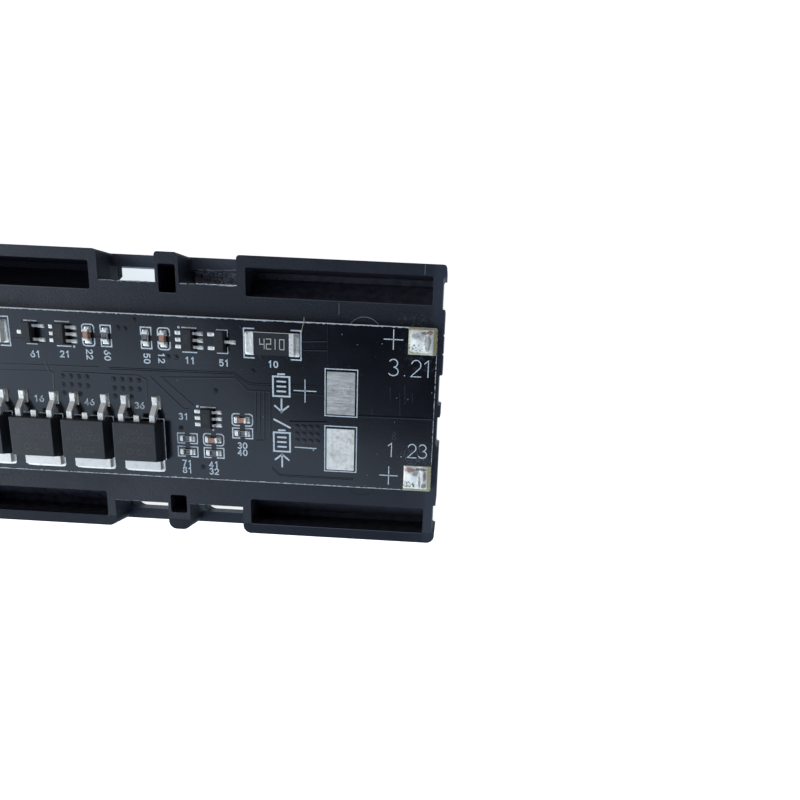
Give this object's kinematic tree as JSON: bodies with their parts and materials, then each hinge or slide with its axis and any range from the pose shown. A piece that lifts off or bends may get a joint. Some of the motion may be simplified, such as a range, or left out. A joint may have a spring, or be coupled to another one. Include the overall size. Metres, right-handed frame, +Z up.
{
  "type": "battery management board",
  "caption": "Two-cell battery protection board with a row of power transistors, fixed on a moulded plastic cell carrier with side pockets and windows.",
  "frame": {"origin": "middle of the carrier's footprint, on the plane its lower rim stands on", "axes": "+X along the cells, towards the output pads; +Y towards the row of small chips; +Z up, out of the component side"},
  "size_m": [0.0794, 0.0408, 0.0101],
  "materials": {
    "carrier_plastic": "moulded, satin",
    "board_mask": "solder mask, semi-gloss",
    "pad_dull": "tinned, dull and scratched",
    "pad_bright": "tinned, bright",
    "solder": "flowed solder, lumpy",
    "package_plastic": "moulded epoxy",
    "chip_plastic": "moulded epoxy",
    "tinned_metal": "tin plated",
    "ceramic_dark": "overglazed",
    "ceramic_brown": "fired, matt"
  },
  "bodies": {
    "root": {"carrier": "carrier_plastic", "circuit_board": "board_mask", "output_pad_plus": "pad_dull", "output_pad_minus": "pad_bright", "cell_joint_back_left": "solder", "cell_joint_back_right": "solder", "cell_joint_front_left": "solder", "cell_joint_front_right": "solder", "power_transistor_1_body": "package_plastic", "power_transistor_1_tab": "tinned_metal", "power_transistor_1_leads": "tinned_metal", "power_transistor_2_body": "package_plastic", "power_transistor_2_tab": "tinned_metal", "power_transistor_2_leads": "tinned_metal", "power_transistor_3_body": "package_plastic", "power_transistor_3_tab": "tinned_metal", "power_transistor_3_leads": "tinned_metal", "power_transistor_4_body": "package_plastic", "power_transistor_4_tab": "tinned_metal", "power_transistor_4_leads": "tinned_metal", "protection_chip_left_body": "chip_plastic", "protection_chip_left_leads": "tinned_metal", "protection_chip_right_body": "chip_plastic", "protection_chip_right_leads": "tinned_metal", "sensing_chip_body": "chip_plastic", "sensing_chip_leads": "tinned_metal", "small_transistor_left_body": "chip_plastic", "small_transistor_left_leads": "tinned_metal", "small_transistor_right_body": "chip_plastic", "small_transistor_right_leads": "tinned_metal", "shunt_left_body": "ceramic_dark", "shunt_left_caps": "tinned_metal", "shunt_right_body": "ceramic_dark", "shunt_right_caps": "tinned_metal", "channel_resistor_left_body": "ceramic_dark", "channel_resistor_left_caps": "tinned_metal", "channel_resistor_right_body": "ceramic_dark", "channel_resistor_right_caps": "tinned_metal", "channel_capacitor_left_body": "ceramic_brown", "channel_capacitor_left_caps": "tinned_metal", "channel_capacitor_right_body": "ceramic_brown", "channel_capacitor_right_caps": "tinned_metal", "sense_resistor_1_body": "ceramic_dark", "sense_resistor_1_caps": "tinned_metal", "sense_resistor_2_body": "ceramic_dark", "sense_resistor_2_caps": "tinned_metal", "sense_resistor_3_body": "ceramic_dark", "sense_resistor_3_caps": "tinned_metal", "sense_resistor_4_body": "ceramic_dark", "sense_resistor_4_caps": "tinned_metal", "sense_capacitor_1_body": "ceramic_brown", "sense_capacitor_1_caps": "tinned_metal", "sense_capacitor_2_body": "ceramic_brown", "sense_capacitor_2_caps": "tinned_metal"}
  },
  "joints": []
}
